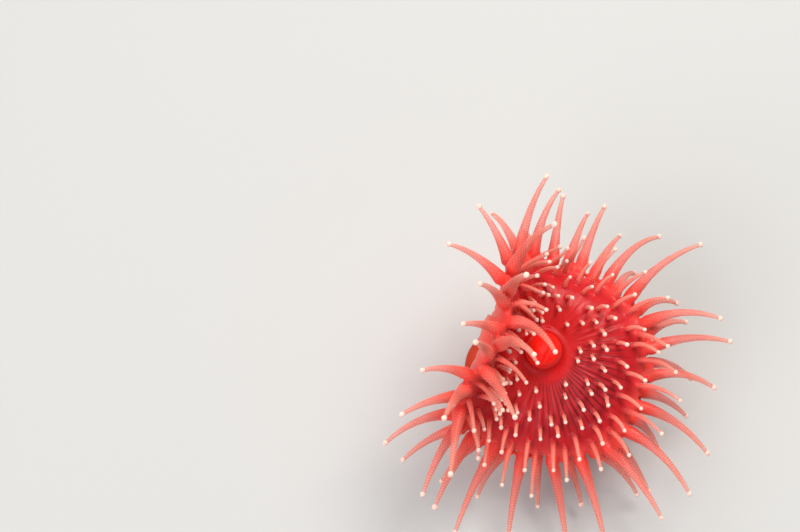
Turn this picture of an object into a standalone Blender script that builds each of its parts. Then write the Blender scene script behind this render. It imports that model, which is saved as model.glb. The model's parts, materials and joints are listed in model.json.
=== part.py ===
"""Strawberry anemone (Corynactis californica) at life size, open, standing on its foot.

The body is one trumpet: a foot that grips the ground, a column, and a flared upper wall that carries
a thin oral disc with the mouth on a mound in its middle.  One side of the disc is lifted into a fold.
Club-tipped tentacles stand on the disc in rays, short near the mouth and long at the margin.

Metres, +Z up, the floor at Z = 0, and -Y is the side that the disc leans towards.
"""

from math import cos, pi, radians, sin

import bpy
import numpy as np

# ---------------------------------------------------------------- driving sizes
DISC_SPAN = 0.0109  # from the mouth to the margin, along the surface of the disc
DISC_STRETCH = 0.10  # how much longer the disc is towards its long side
LONG_SIDE = radians(-65)
DISC_HEIGHT = 0.0138  # the middle of the disc above the floor
DISC_FORWARD = 0.0014  # how far the middle of the disc sits in front of the foot
DISC_TILT = radians(20)  # how far the disc leans forward
DISC_THICK = 0.0009
WAIST_RADIUS = 0.0051  # the narrowest part of the body
WAIST_HEIGHT = 0.0064
FOOT_RADIUS = 0.0076
FOOT_THICK = 0.0013
FOOT_TUCK = 0.97  # the foot's rounded edge turns in to this share of its radius, below and above
FOOT_WIDEST = 0.0003  # the height where the foot is widest
FOOT_TOP = 0.0007  # the height where its edge has turned in again
SKIRT_SHARE = 0.66  # how much of the widening below the waist comes in the last stretch to the foot
FOOT_LOBES = 5
LOBE_TURN = 0.6
FOOT_WAVE = 0.035  # how far the lobes of the foot stand out, as a share of its radius
PART_GAP = 0.0003  # the thin cut between one named part and the next

# The fold: the sector of the disc that stands up beside the mouth.
FOLD_AT = radians(162)
FOLD_WIDTH = radians(58)
FOLD_RISE = radians(90)
FOLD_START = 0.20  # the share of the radius where it begins to rise, and where it stands straight
FOLD_END = 0.62
EDGE_DROOP = radians(24)  # how far the rest of the margin turns down
DEEP_DROOP = radians(44)  # how much further it turns down beside the fold, where it turns down most
DEEP_SIDE = radians(145)
DROOP_START = 0.35
DROOP_END = 0.90
RIPPLE = radians(8)
RIPPLE_START = 0.4
RIPPLES = 5

WALL_OPEN = radians(34)  # the angle between the disc and the outer wall under its margin
WALL_INSET = 0.0004
WALL_LEAVES = 0.40  # the shares of its length for which the wall keeps its direction at its two ends
WALL_ARRIVES = 0.45

MOUTH_RADIUS = 0.00185
MOUTH_RISE = 0.0022
MOUTH_LEAN = 0.0006  # how far the top of the mouth sits towards the front
MOUTH_BLUNT = 0.8  # under 1, the mound is blunter than a half ball
MOUTH_SIDES = 18
MOUTH_RINGS = (0.0, 0.42, 0.82, 1.14, 1.38)  # angles up the side of the mound
SLIT_SIDES = 10
SLIT_AT = radians(62)
SLIT_LENGTH = 0.0021
SLIT_WIDTH = 0.00034
SLIT_DEPTH = 0.0009

RAYS = 25  # radial rows of tentacles, each over a chamber of the body
NECK_RADIUS = 0.00025
TAPER = 0.85  # under 1, a stalk keeps its thickness a little longer than a cone
FLARE = 0.10  # the extra thickness at the very root, as a share, and how fast it fades
FLARE_FADE = 14
CLUB_RADIUS = 0.00035
CLUB_MIDDLE = 0.9  # the widest ring of the club and its end, beyond the neck, in its own radii
CLUB_END = 1.6
CLUB_TIP = 0.6  # the radius of the end ring, as a share
SAG = np.array([0.06, -0.80, -0.60])  # the way the tentacles hang over
SPRING = 0.35  # how much of that turn a tentacle first makes the other way
TOUCH_GAP = 0.0003  # the least clearance between two tentacles
OWN_CURL = 0.2  # how firmly a tentacle that is pushed aside goes back to its own curl
LOWEST_TIP = 0.0022  # no tentacle hangs lower than this above the floor

DISC_CENTRE = np.array([0.0, -DISC_FORWARD, DISC_HEIGHT])
DISC_RIGHT = np.array([1.0, 0.0, 0.0])
DISC_BACK = np.array([0.0, cos(DISC_TILT), sin(DISC_TILT)])
DISC_UP = np.array([0.0, -sin(DISC_TILT), cos(DISC_TILT)])

BODY_SIDES = 30
COLUMN_RINGS = 4
SLOPE_STEPS = 33  # steps over which the slope of the disc is added up
# Shares of the radius where the disc has a ring of points, above and below.
DISC_RINGS = (0.15, 0.30, 0.42, 0.54, 0.68, 0.84, 0.97)
UNDER_RINGS = (0.17, 0.38, 0.56, 0.74, 0.91)
MARGIN_TURNS = (-1.2, -0.4, 0.4)  # angles round the edge of the disc
WALL_RINGS = (0.0, 0.14, 0.36, 0.64, 1.0)

# Each row: its place between two rays (0 is on a ray), the length, the radius at the root, and the
# angle off the disc's surface in degrees, on the open side and in the fold.  In the fold, the tentacles
# of a long row take two angles by turns, and are shorter and hang over less, by a share.
# A short row also has its place from mouth (0) to margin (1), and one tentacle on every so many rays.
MARGIN_ROWS = (
    dict(name="upper", between=0.0, length=0.0086, girth=0.00056, lift=28,
         folded=(66, 22), shorter=0.28, stiffer=0.1),
    dict(name="lower", between=0.5, length=0.0074, girth=0.00054, lift=-12,
         folded=(-34, -12), shorter=0.24, stiffer=0.3),
)
LONG_SIDES = 5
LONG_RINGS = 4
DISC_ROWS = (
    dict(span=0.89, between=0.5, every=1, length=0.0044, girth=0.00047, lift=52, folded=56, sides=5),
    dict(span=0.79, between=0.0, every=1, length=0.0031, girth=0.00043, lift=64, folded=66, sides=4),
    dict(span=0.67, between=0.5, every=1, length=0.0020, girth=0.00037, lift=78, folded=76, sides=4),
    dict(span=0.56, between=0.0, every=1, length=0.0017, girth=0.00034, lift=84, folded=80, sides=4),
    dict(span=0.44, between=0.5, every=2, length=0.0014, girth=0.00031, lift=86, folded=86, sides=4),
    dict(span=0.33, between=0.0, every=3, length=0.0012, girth=0.00030, lift=88, folded=88, sides=4),
)
SHORT_RINGS = {5: 3, 4: 2}  # rings along a short stalk, by its number of sides

# Tentacles that hold a pose of their own: one arches over the mouth, and one leans out of the fold.
# Each has degrees added to its angle, how far it heads aside, and how many times as far it hangs over.
POSED = {
    "upper_11": dict(turn=0, aside=0.45, sag=2.8),
    "upper_15": dict(turn=-10, aside=0.0, sag=0.8),
    "upper_05": dict(turn=6, aside=0.0, sag=0.5),
    "lower_04": dict(turn=34, aside=-0.20, sag=0.6),
    "lower_05": dict(turn=30, aside=0.0, sag=0.6),
    "lower_19": dict(turn=8, aside=0.25, sag=0.8),
}

# No two tentacles are quite alike. These are the most that each may differ from its row.
LONG_TURN = 9  # degrees off the row's angle
LONG_ASIDE = 0.20
LONG_LENGTH = 0.14
LONG_SAG = (0.80, 0.30)  # how far a tentacle hangs over, and how much that varies
SHORT_SPAN = 0.030
SHORT_ROUND = 0.05
SHORT_TURN = 8
SHORT_LENGTH = 0.16
SHORT_SAG = (1.0, 0.3)
ROOT_DEPTH = 0.00036  # how deep the short tentacles are rooted in the disc
LINE_POINTS = 9  # points along the middle line of a tentacle


# ---------------------------------------------------------------- the shape of the body
def ease(x):
    """0 below 0, 1 above 1, and a smooth rise between them."""
    x = np.clip(x, 0.0, 1.0)
    return x * x * (3.0 - 2.0 * x)


def unit(v):
    return v / np.linalg.norm(v, axis=-1, keepdims=True)


def fold(theta):
    """1 in the middle of the fold, falling to 0 on the open side of the disc."""
    off = (theta - FOLD_AT + pi) % (2 * pi) - pi
    return np.exp(-((off / FOLD_WIDTH) ** 4))


def slope(span, theta):
    """The angle of the disc's surface above its own plane, at this share of its radius."""
    lifted = FOLD_RISE * fold(theta) * ease((span - FOLD_START) / (FOLD_END - FOLD_START))
    open_side = 1.0 - fold(theta)
    droop = EDGE_DROOP + DEEP_DROOP * (0.5 + 0.5 * np.cos(theta - DEEP_SIDE))
    drooped = droop * open_side * ease((span - DROOP_START) / (DROOP_END - DROOP_START))
    waves = RIPPLE * np.sin(RIPPLES * theta) * open_side
    rippled = waves * ease((span - RIPPLE_START) / (1.0 - RIPPLE_START))
    return lifted - drooped + rippled


def disc_point(span, theta):
    """A point of the disc's upper surface. The slope is added up from the mouth outwards."""
    span, theta = np.broadcast_arrays(np.asarray(span, float), np.asarray(theta, float))
    steps = np.linspace(0.0, 1.0, SLOPE_STEPS)
    angle = slope(span[..., None] * steps, theta[..., None])
    reach = span * DISC_SPAN * (1.0 + DISC_STRETCH * np.cos(theta - LONG_SIDE))
    run = (reach * np.trapz(np.cos(angle), steps, axis=-1))[..., None]
    rise = (reach * np.trapz(np.sin(angle), steps, axis=-1))[..., None]
    away = np.cos(theta)[..., None] * DISC_RIGHT + np.sin(theta)[..., None] * DISC_BACK
    return DISC_CENTRE + run * away + rise * DISC_UP


def disc_frame(span, theta):
    """(point, outward direction, upward normal) of the disc there."""
    small = 1e-3
    outward = unit(disc_point(span + small, theta) - disc_point(span - small, theta))
    around = unit(disc_point(span, theta + small) - disc_point(span, theta - small))
    return disc_point(span, theta), outward, unit(np.cross(outward, around))


def below_disc(span, theta, depth):
    point, _, normal = disc_frame(span, theta)
    return point - depth * normal


def foot_ring(theta, radius, height):
    """A level ring round the foot or the column. Its lobes fade out above the foot."""
    lobes = 1.0 + FOOT_WAVE * np.sin(FOOT_LOBES * theta + LOBE_TURN) * (1.0 - height / WAIST_HEIGHT) ** 2
    return np.stack([radius * lobes * np.cos(theta), radius * lobes * np.sin(theta), 0 * theta + height], -1)


def wall_point(drop, theta):
    """A point of the outer wall: from the margin (0) to the waist (1), as one smooth curve."""
    rim, outward, normal = disc_frame(1.0, theta)
    leaving = -outward * cos(WALL_OPEN) - normal * sin(WALL_OPEN)
    start = rim - normal * (DISC_THICK + PART_GAP) - outward * WALL_INSET
    end = foot_ring(theta, WAIST_RADIUS, WAIST_HEIGHT + PART_GAP / 2)
    reach = np.linalg.norm(end - start, axis=-1, keepdims=True)
    after = start + WALL_LEAVES * reach * leaving
    before = end + WALL_ARRIVES * reach * np.array([0.0, 0.0, 1.0])
    t, s = drop, 1.0 - drop
    return s**3 * start + 3 * s**2 * t * after + 3 * s * t**2 * before + t**3 * end


def column_radius(height):
    """Below the waist the column widens, slowly at first, to the skirt of the foot."""
    down = 1.0 - height / WAIST_HEIGHT
    return WAIST_RADIUS + (FOOT_RADIUS - WAIST_RADIUS) * ((1.0 - SKIRT_SHARE) * down + SKIRT_SHARE * down**4)


# ---------------------------------------------------------------- meshes
def add_object(name, points, faces, material):
    mesh = bpy.data.meshes.new(name)
    mesh.from_pydata([tuple(p) for p in points], [], faces)
    mesh.materials.append(material)
    mesh.shade_smooth()
    mesh.set_sharp_from_angle(angle=radians(50))
    obj = bpy.data.objects.new(name, mesh)
    bpy.context.scene.collection.objects.link(obj)
    return obj


def ring_faces(rings, sides, first=0):
    """Faces of a closed skin over rings of points, which are stored one ring after another."""
    faces = [tuple(first + k for k in reversed(range(sides)))]
    for r in range(rings - 1):
        a, b = first + r * sides, first + (r + 1) * sides
        faces += [(a + k, a + (k + 1) % sides, b + (k + 1) % sides, b + k) for k in range(sides)]
    faces.append(tuple(range(first + (rings - 1) * sides, first + rings * sides)))
    return faces


def add_rings(name, rings, material):
    """A closed solid from rings that run from its underside, round the outside, to its top."""
    rings = np.array(rings)
    return add_object(name, rings.reshape(-1, 3), ring_faces(len(rings), rings.shape[1]), material)


def make_flesh(name, colour, roughness):
    material = bpy.data.materials.new(name)
    material.use_nodes = True
    shader = material.node_tree.nodes["Principled BSDF"]
    shader.inputs["Base Color"].default_value = (*colour, 1.0)
    shader.inputs["Roughness"].default_value = roughness
    shader.inputs["Metallic"].default_value = 0.0
    return material


def cut_or_join(obj, other, operation):
    """Keeps the other object as a guide, out of the render, and cuts it from obj or joins it on."""
    other.hide_render = True
    other.display_type = "WIRE"
    modifier = obj.modifiers.new(operation.title(), "BOOLEAN")
    modifier.operation = operation
    modifier.object = other


# ---------------------------------------------------------------- the parts of the body
def around():
    return np.arange(BODY_SIDES) / BODY_SIDES * 2 * pi


def add_foot(flesh):
    """The pedal disc: flat below, with a rounded edge."""
    tucked = FOOT_RADIUS * FOOT_TUCK
    edge = ((tucked, 0.0), (FOOT_RADIUS, FOOT_WIDEST), (tucked, FOOT_TOP))
    profile = (*edge, (column_radius(FOOT_THICK), FOOT_THICK))
    add_rings("pedal_disc", [foot_ring(around(), radius, height) for radius, height in profile], flesh)


def add_column(flesh):
    heights = np.linspace(FOOT_THICK + PART_GAP, WAIST_HEIGHT - PART_GAP / 2, COLUMN_RINGS)
    add_rings("column", [foot_ring(around(), column_radius(h), h) for h in heights], flesh)


def add_upper_wall(flesh):
    """The flared wall under the disc. Its top follows the disc's underside."""
    depth = DISC_THICK + PART_GAP
    wall = [wall_point(drop, around()) for drop in reversed(WALL_RINGS)]
    top = [below_disc(span, around(), depth) for span in reversed(UNDER_RINGS)]
    add_rings("capitulum", wall + top, flesh)


def add_disc(flesh):
    """The oral disc: a thin plate with a round margin, joined with the tentacles that stand on it."""
    rim, outward, normal = disc_frame(1.0, around())
    edge = DISC_THICK / 2
    middle = rim - edge * normal - edge * outward
    under = [below_disc(span, around(), DISC_THICK) for span in UNDER_RINGS]
    margin = [middle + edge * (outward * cos(a) + normal * sin(a)) for a in MARGIN_TURNS]
    top = [disc_point(span, around()) for span in reversed(DISC_RINGS)]
    return add_rings("oral_disc", under + margin + top, flesh)


def add_mouth(flesh):
    """A soft mound on the middle of the disc, with the slit of the mouth across its top."""
    base = DISC_CENTRE + PART_GAP * DISC_UP
    turn = np.arange(MOUTH_SIDES) / MOUTH_SIDES * 2 * pi
    away = np.outer(np.cos(turn), DISC_RIGHT) + np.outer(np.sin(turn), DISC_BACK)
    rings = []
    for angle in MOUTH_RINGS:
        lean = np.array([0.0, -MOUTH_LEAN, 0.0]) * sin(angle) ** 2
        centre = base + MOUTH_RISE * sin(angle) * DISC_UP + lean
        rings.append(centre + MOUTH_RADIUS * cos(angle) ** MOUTH_BLUNT * away)
    mouth = add_rings("mouth", rings, flesh)

    along = cos(SLIT_AT) * DISC_RIGHT + sin(SLIT_AT) * DISC_BACK
    aside = np.cross(DISC_UP, along)
    top = base + MOUTH_RISE * DISC_UP + np.array([0.0, -MOUTH_LEAN, 0.0])
    outline = []
    for angle in np.arange(SLIT_SIDES) / SLIT_SIDES * 2 * pi:
        reach = SLIT_LENGTH / 2 * cos(angle) * along + SLIT_WIDTH / 2 * sin(angle) * aside
        outline.append(top + reach)
    rings = [np.array(outline) - SLIT_DEPTH * DISC_UP, np.array(outline) + SLIT_DEPTH * DISC_UP]
    cut_or_join(mouth, add_rings("slit_cutter", rings, flesh), "DIFFERENCE")


# ---------------------------------------------------------------- the tentacles
def scatter(*seeds):
    """A steady value from -1 to 1 that looks random, the same on every run."""
    wave = sin(sum(seed * pull for seed, pull in zip(seeds, (12.99, 78.23, 37.72, 9.16)))) * 43758.55
    return 2.0 * (wave % 1.0) - 1.0


def ray_angles(between):
    """The angles of the rays, evenly spaced along the margin, so that the fold doesn't crowd them."""
    theta = np.linspace(0.0, 2 * pi, 721)
    margin = disc_point(1.0, theta)
    along = np.concatenate([[0.0], np.cumsum(np.linalg.norm(np.diff(margin, axis=0), axis=1))])
    return np.interp((np.arange(RAYS) + between) / RAYS * along[-1], along, theta)


def hanging_line(root, heading, length, sag):
    """Points of a line that springs up a little at its root, and turns step by step to hang over."""
    points = [root]
    heading = unit(heading - SPRING * sag * SAG)
    steps = LINE_POINTS - 1
    for _ in range(steps):
        points.append(points[-1] + heading * length / steps)
        heading = unit(heading + SAG * sag / steps)
    return np.array(points)


def lean_off(outward, normal, angle):
    return outward * cos(radians(angle)) + normal * sin(radians(angle))


def margin_tentacles():
    """The long tentacles round the margin, each a part of its own."""
    made = []
    for row, spec in enumerate(MARGIN_ROWS):
        for k, theta in enumerate(ray_angles(spec["between"])):
            rim, outward, normal = disc_frame(1.0, theta)
            middle = rim - DISC_THICK / 2 * (normal + outward)
            folded = fold(theta)
            leaned = (spec["folded"][k % 2] - spec["lift"]) * folded
            name = f"{spec['name']}_{k + 1:02d}"
            pose = POSED.get(name, dict(turn=0, aside=0.0, sag=1.0))
            angle = spec["lift"] + leaned + pose["turn"] + LONG_TURN * scatter(k, row)
            aside = (pose["aside"] + LONG_ASIDE * scatter(k, row, 1)) * np.cross(normal, outward)
            heading = unit(lean_off(outward, normal, angle) + aside)
            root = middle + (DISC_THICK / 2 + PART_GAP) * heading
            length = spec["length"] * (1 + LONG_LENGTH * scatter(k, row, 2)) * (1 - spec["shorter"] * folded)
            usual_sag, sag_spread = LONG_SAG
            sag = pose["sag"] * (usual_sag + sag_spread * scatter(k, row, 3)) * (1 - spec["stiffer"] * folded)
            line = hanging_line(root, heading, length, sag)
            made.append(dict(name="tentacle_" + name, line=line, girth=spec["girth"]))
    return made


def disc_tentacles():
    """The short tentacles on the disc, which are one piece with it."""
    made = []
    for row, spec in enumerate(DISC_ROWS):
        for k, theta in enumerate(ray_angles(spec["between"])):
            if k % spec["every"]:
                continue
            span = spec["span"] + SHORT_SPAN * scatter(k, row, 4)
            point, outward, normal = disc_frame(span, theta + SHORT_ROUND * scatter(k, row, 5))
            folded = (spec["folded"] - spec["lift"]) * fold(theta)
            heading = lean_off(outward, normal, spec["lift"] + folded + SHORT_TURN * scatter(k, row, 6))
            root = point - ROOT_DEPTH * normal
            length = spec["length"] * (1 + SHORT_LENGTH * scatter(k, row, 7))
            usual_sag, sag_spread = SHORT_SAG
            line = hanging_line(root, heading, length, usual_sag + sag_spread * scatter(k, row, 8))
            made.append(dict(name=None, line=line, girth=spec["girth"], sides=spec["sides"]))
    return made


def ease_apart(tentacles, rounds=80):
    """Bends tentacles that would touch away from each other. Roots, lengths and curls stay as they are."""
    lines = np.array([t["line"] for t in tentacles])
    lengths = np.linalg.norm(lines[:, 1] - lines[:, 0], axis=-1)[:, None]
    curls = np.diff(unit(np.diff(lines, axis=1)), axis=1)
    share = np.linspace(0.0, 1.0, LINE_POINTS)
    radii = np.array([tentacle_radius(share, t["girth"]) for t in tentacles])
    radii[:, -1] = CLUB_RADIUS
    owner = np.repeat(np.arange(len(lines)), LINE_POINTS)
    apart = radii.reshape(-1, 1) + radii.reshape(1, -1) + TOUCH_GAP
    apart[owner[:, None] == owner[None, :]] = 0.0
    for _ in range(rounds):
        points = lines.reshape(-1, 3)
        between = points[:, None] - points[None, :]
        distance = np.linalg.norm(between, axis=-1)
        short = np.clip(apart - distance, 0.0, None) / np.maximum(distance, 1e-9)
        push = 0.5 * (short[..., None] * between).sum(axis=1).reshape(lines.shape)
        push[..., 2] += np.clip(LOWEST_TIP - lines[..., 2].min(axis=1), 0.0, None)[:, None]
        lines = lines + push * share[None, :, None]
        for i in range(2, LINE_POINTS):
            step = unit(lines[:, i] - lines[:, i - 1])
            rest = unit(lines[:, i - 1] - lines[:, i - 2]) + curls[:, i - 2]
            lines[:, i] = lines[:, i - 1] + lengths * unit((1.0 - OWN_CURL) * step + OWN_CURL * rest)
    for t, line in zip(tentacles, lines):
        t["line"] = line


def tentacle_radius(share, girth):
    """The radius of the stalk: a flared root, then a taper to the neck."""
    tapered = NECK_RADIUS + (girth - NECK_RADIUS) * (1.0 - share) ** TAPER
    return tapered + FLARE * girth * np.exp(-FLARE_FADE * share)


def tentacle_rings(line, girth, sides, rings):
    """Rings up the stalk and over the round club at its tip."""
    share = np.linspace(0.0, 1.0, rings)
    along = np.linspace(0.0, 1.0, len(line))
    centres = np.stack([np.interp(share, along, line[:, axis]) for axis in range(3)], -1)
    headings = unit(np.gradient(centres, axis=0))
    radii = tentacle_radius(share, girth)
    last = headings[-1]
    club = [centres[-1] + CLUB_RADIUS * beyond * last for beyond in (CLUB_MIDDLE, CLUB_END)]
    centres = np.concatenate([centres, club])
    headings = np.concatenate([headings, [last, last]])
    radii = np.concatenate([radii, [CLUB_RADIUS, CLUB_RADIUS * CLUB_TIP]])
    turn = np.arange(sides) / sides * 2 * pi
    first = np.cross(headings[0], DISC_RIGHT + 0.3 * DISC_BACK)
    made = []
    for centre, heading, radius in zip(centres, headings, radii):
        first = unit(first - heading * np.dot(first, heading))
        second = np.cross(heading, first)
        made.append(centre + radius * (np.outer(np.cos(turn), first) + np.outer(np.sin(turn), second)))
    return np.array(made)


def add_tentacles(disc, flesh):
    tentacles = margin_tentacles() + disc_tentacles()
    ease_apart(tentacles)
    points, faces = [], []
    for t in tentacles:
        if t["name"]:
            add_rings(t["name"], tentacle_rings(t["line"], t["girth"], LONG_SIDES, LONG_RINGS), flesh)
            continue
        sides = t["sides"]
        rings = tentacle_rings(t["line"], t["girth"], sides, SHORT_RINGS[sides])
        faces += ring_faces(len(rings), sides, first=len(points))
        points += list(rings.reshape(-1, 3))
    cut_or_join(disc, add_object("disc_tentacles", points, faces, flesh), "UNION")


def main():
    for obj in list(bpy.data.objects):
        bpy.data.objects.remove(obj)
    wall = make_flesh("column_flesh", (0.52, 0.030, 0.010), 0.35)
    skin = make_flesh("disc_flesh", (0.42, 0.016, 0.016), 0.35)
    mouth = make_flesh("mouth_flesh", (0.60, 0.006, 0.006), 0.30)
    pale = make_flesh("tentacle_flesh", (0.62, 0.26, 0.20), 0.40)
    add_foot(wall)
    add_column(wall)
    add_upper_wall(wall)
    disc = add_disc(skin)
    add_mouth(mouth)
    add_tentacles(disc, pale)


main()
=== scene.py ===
"""Strawberry anemone (Corynactis californica), open and standing on its foot, at life size.

The flesh is one skin, from the foot up the wall, over the disc to the mouth, and out along every
tentacle.  On it sit the pale ball at the tip of each tentacle and the rings of beads along its stalk.
Metres, +Z up, the floor at Z = 0, and -Y is the side that the disc leans towards.
"""

import json
from math import cos, pi, radians, sin

import bpy
import numpy as np
from mathutils import Matrix, Vector
from mathutils.kdtree import KDTree

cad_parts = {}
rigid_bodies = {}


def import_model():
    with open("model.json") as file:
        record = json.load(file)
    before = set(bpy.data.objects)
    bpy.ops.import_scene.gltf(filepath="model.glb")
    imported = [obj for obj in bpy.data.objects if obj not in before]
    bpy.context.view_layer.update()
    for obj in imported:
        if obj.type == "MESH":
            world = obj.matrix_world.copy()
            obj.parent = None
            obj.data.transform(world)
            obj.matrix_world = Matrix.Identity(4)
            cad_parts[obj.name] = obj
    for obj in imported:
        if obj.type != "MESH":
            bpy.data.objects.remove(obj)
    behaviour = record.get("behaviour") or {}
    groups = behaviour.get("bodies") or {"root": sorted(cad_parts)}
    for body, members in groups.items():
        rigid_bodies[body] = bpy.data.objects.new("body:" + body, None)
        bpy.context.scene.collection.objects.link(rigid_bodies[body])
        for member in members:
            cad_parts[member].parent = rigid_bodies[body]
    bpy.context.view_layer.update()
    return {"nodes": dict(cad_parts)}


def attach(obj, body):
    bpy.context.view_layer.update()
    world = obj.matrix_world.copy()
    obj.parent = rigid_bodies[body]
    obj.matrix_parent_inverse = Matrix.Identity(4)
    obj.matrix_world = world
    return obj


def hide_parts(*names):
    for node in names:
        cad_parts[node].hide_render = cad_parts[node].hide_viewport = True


for startup_object in list(bpy.data.objects):
    bpy.data.objects.remove(startup_object)
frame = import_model()


# ================================================================ the body
# A soft hollow sack of wet flesh: a foot that grips the ground, a column, a flared upper wall, and a
# thin oral disc stretched over it, with the mouth on a mound in its middle.  It is one animal that grew
# in one piece, so it is one skin here, made ring by ring from the sizes of the solids.
DISC_SPAN = 0.0109  # from the mouth to the margin, along the surface of the disc
DISC_STRETCH = 0.10  # how much longer the disc is towards its long side
LONG_SIDE = radians(-65)
DISC_HEIGHT = 0.0138  # the middle of the disc above the floor
DISC_FORWARD = 0.0014  # how far the middle of the disc sits in front of the foot
DISC_TILT = radians(20)  # how far the disc leans forward
DISC_THICK = 0.0009
WAIST_RADIUS = 0.0051  # the narrowest part of the body
WAIST_HEIGHT = 0.0064
FOOT_RADIUS = 0.0076
FOOT_EDGE = 0.00035  # the radius of the foot's rounded edge
FOOT_BLEND = 0.0018  # the height where the foot's edge has run into the column
SOLE_RINGS = (0.25, 0.55, 0.80, 0.90)  # rings of the flat sole, as shares of the foot's radius
EDGE_ANGLES = (-90, -62, -34, -6, 22, 50)  # rings round the foot's edge, in degrees up from its side
EDGE_LEAVES = radians(65)  # where on that edge the skin turns off towards the column
EDGE_KEEPS = 0.0005  # for how far it keeps its direction, at both ends of that stretch
SKIRT_SHARE = 0.66  # how much of the widening below the waist comes in the last stretch to the foot
FOOT_LOBES = 5
LOBE_TURN = 0.6
FOOT_WAVE = 0.035  # how far the lobes of the foot stand out, as a share of its radius
PART_GAP = 0.0003  # the thin cut between the parts of the solids, which the skin closes

FOLD_AT = radians(162)  # the sector of the disc that stands up beside the mouth
FOLD_WIDTH = radians(58)
FOLD_RISE = radians(90)
FOLD_START = 0.20  # the share of the radius where it begins to rise, and where it stands straight
FOLD_END = 0.62
EDGE_DROOP = radians(24)  # how far the rest of the margin turns down
DEEP_DROOP = radians(44)  # how much further it turns down beside the fold, where it turns down most
DEEP_SIDE = radians(145)
DROOP_START = 0.35
DROOP_END = 0.90
RIPPLE = radians(8)
RIPPLE_START = 0.4
RIPPLES = 5
WALL_OPEN = radians(34)  # the angle between the disc and the outer wall under its margin
WALL_LEAVES = 0.40  # the shares of its length for which the wall keeps its direction at its two ends
WALL_ARRIVES = 0.45

MOUTH_RADIUS = 0.00185
MOUTH_RISE = 0.0022
MOUTH_LEAN = 0.0006  # how far the top of the mouth sits towards the front
MOUTH_SKIRT = 0.0008  # the width of the hollow curve where the mound meets the disc
SKIRT_HEIGHT = 0.00055
SKIRT_ANGLES = (14, 28, 42, 56, 70)  # rings of that curve, in degrees
MOUND_RINGS = (0.998, 0.985, 0.96, 0.92, 0.87)  # rings of the mound's steep side, as shares of its radius
MOUND_ROUND = 1.25  # over 1, the top of the mound is fuller than a ball
SLIT_AT = radians(62)
SLIT_HALF_LENGTH = 0.00095
SLIT_HALF_WIDTH = 0.00008
SLIT_DEPTH = 0.00020
LIP_OFFSET = 0.00027  # from the slit to the middle of the lip beside it
LIP_WIDTH = 0.00014
LIP_RISE = 0.00006

RAYS = 25  # radial rows of tentacles, each over a chamber of the body
COLUMNS_PER_RAY = 12  # columns of the mesh to one ray
RIDGES_PER_RAY = 2  # furrows of the disc and ridges of the wall, over the walls between chambers
FURROW = 0.000035
RIDGE = 0.000045
CREASE = 0.000016
SWELL = 0.00010
SLOPE_STEPS = 33  # steps over which the slope of the disc is added up

DISC_CENTRE = np.array([0.0, -DISC_FORWARD, DISC_HEIGHT])
DISC_RIGHT = np.array([1.0, 0.0, 0.0])
DISC_BACK = np.array([0.0, cos(DISC_TILT), sin(DISC_TILT)])
DISC_UP = np.array([0.0, -sin(DISC_TILT), cos(DISC_TILT)])


def ease(x):
    """0 below 0, 1 above 1, and a smooth rise between them."""
    x = np.clip(x, 0.0, 1.0)
    return x * x * (3.0 - 2.0 * x)


def unit(v):
    return v / np.linalg.norm(v, axis=-1, keepdims=True)


def fold(theta):
    """1 in the middle of the fold, falling to 0 on the open side of the disc."""
    off = (theta - FOLD_AT + pi) % (2 * pi) - pi
    return np.exp(-((off / FOLD_WIDTH) ** 4))


def slope(span, theta):
    """The angle of the disc's surface above its own plane, at this share of its radius."""
    lifted = FOLD_RISE * fold(theta) * ease((span - FOLD_START) / (FOLD_END - FOLD_START))
    open_side = 1.0 - fold(theta)
    droop = EDGE_DROOP + DEEP_DROOP * (0.5 + 0.5 * np.cos(theta - DEEP_SIDE))
    drooped = droop * open_side * ease((span - DROOP_START) / (DROOP_END - DROOP_START))
    waves = RIPPLE * np.sin(RIPPLES * theta) * open_side
    rippled = waves * ease((span - RIPPLE_START) / (1.0 - RIPPLE_START))
    return lifted - drooped + rippled


def disc_point(span, theta):
    """A point of the disc's upper surface. The slope is added up from the mouth outwards."""
    span, theta = np.broadcast_arrays(np.asarray(span, float), np.asarray(theta, float))
    steps = np.linspace(0.0, 1.0, SLOPE_STEPS)
    angle = slope(span[..., None] * steps, theta[..., None])
    reach = span * DISC_SPAN * (1.0 + DISC_STRETCH * np.cos(theta - LONG_SIDE))
    run = (reach * np.trapz(np.cos(angle), steps, axis=-1))[..., None]
    rise = (reach * np.trapz(np.sin(angle), steps, axis=-1))[..., None]
    away = np.cos(theta)[..., None] * DISC_RIGHT + np.sin(theta)[..., None] * DISC_BACK
    return DISC_CENTRE + run * away + rise * DISC_UP


def disc_frame(span, theta):
    """(point, outward direction, upward normal) of the disc there."""
    small = 1e-3
    outward = unit(disc_point(span + small, theta) - disc_point(span - small, theta))
    around = unit(disc_point(span, theta + small) - disc_point(span, theta - small))
    return disc_point(span, theta), outward, unit(np.cross(outward, around))


def margin_angles(count, start=0.0):
    """So many angles evenly spaced along the margin, so that the fold doesn't crowd them."""
    theta = np.linspace(0.0, 2 * pi, 721)
    margin = disc_point(1.0, theta)
    along = np.concatenate([[0.0], np.cumsum(np.linalg.norm(np.diff(margin, axis=0), axis=1))])
    return np.interp((np.arange(count) + start) / count * along[-1], along, theta)


def margin_middle(theta):
    """(middle of the disc's round margin, outward direction, upward normal)."""
    rim, outward, normal = disc_frame(1.0, theta)
    return rim - DISC_THICK / 2 * (normal + outward), outward, normal


def foot_ring(theta, radius, height):
    """A level ring round the foot or the column. Its lobes fade out above the foot."""
    lobes = 1.0 + FOOT_WAVE * np.sin(FOOT_LOBES * theta + LOBE_TURN) * (1.0 - height / WAIST_HEIGHT) ** 2
    return np.stack([radius * lobes * np.cos(theta), radius * lobes * np.sin(theta), 0 * theta + height], -1)


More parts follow.
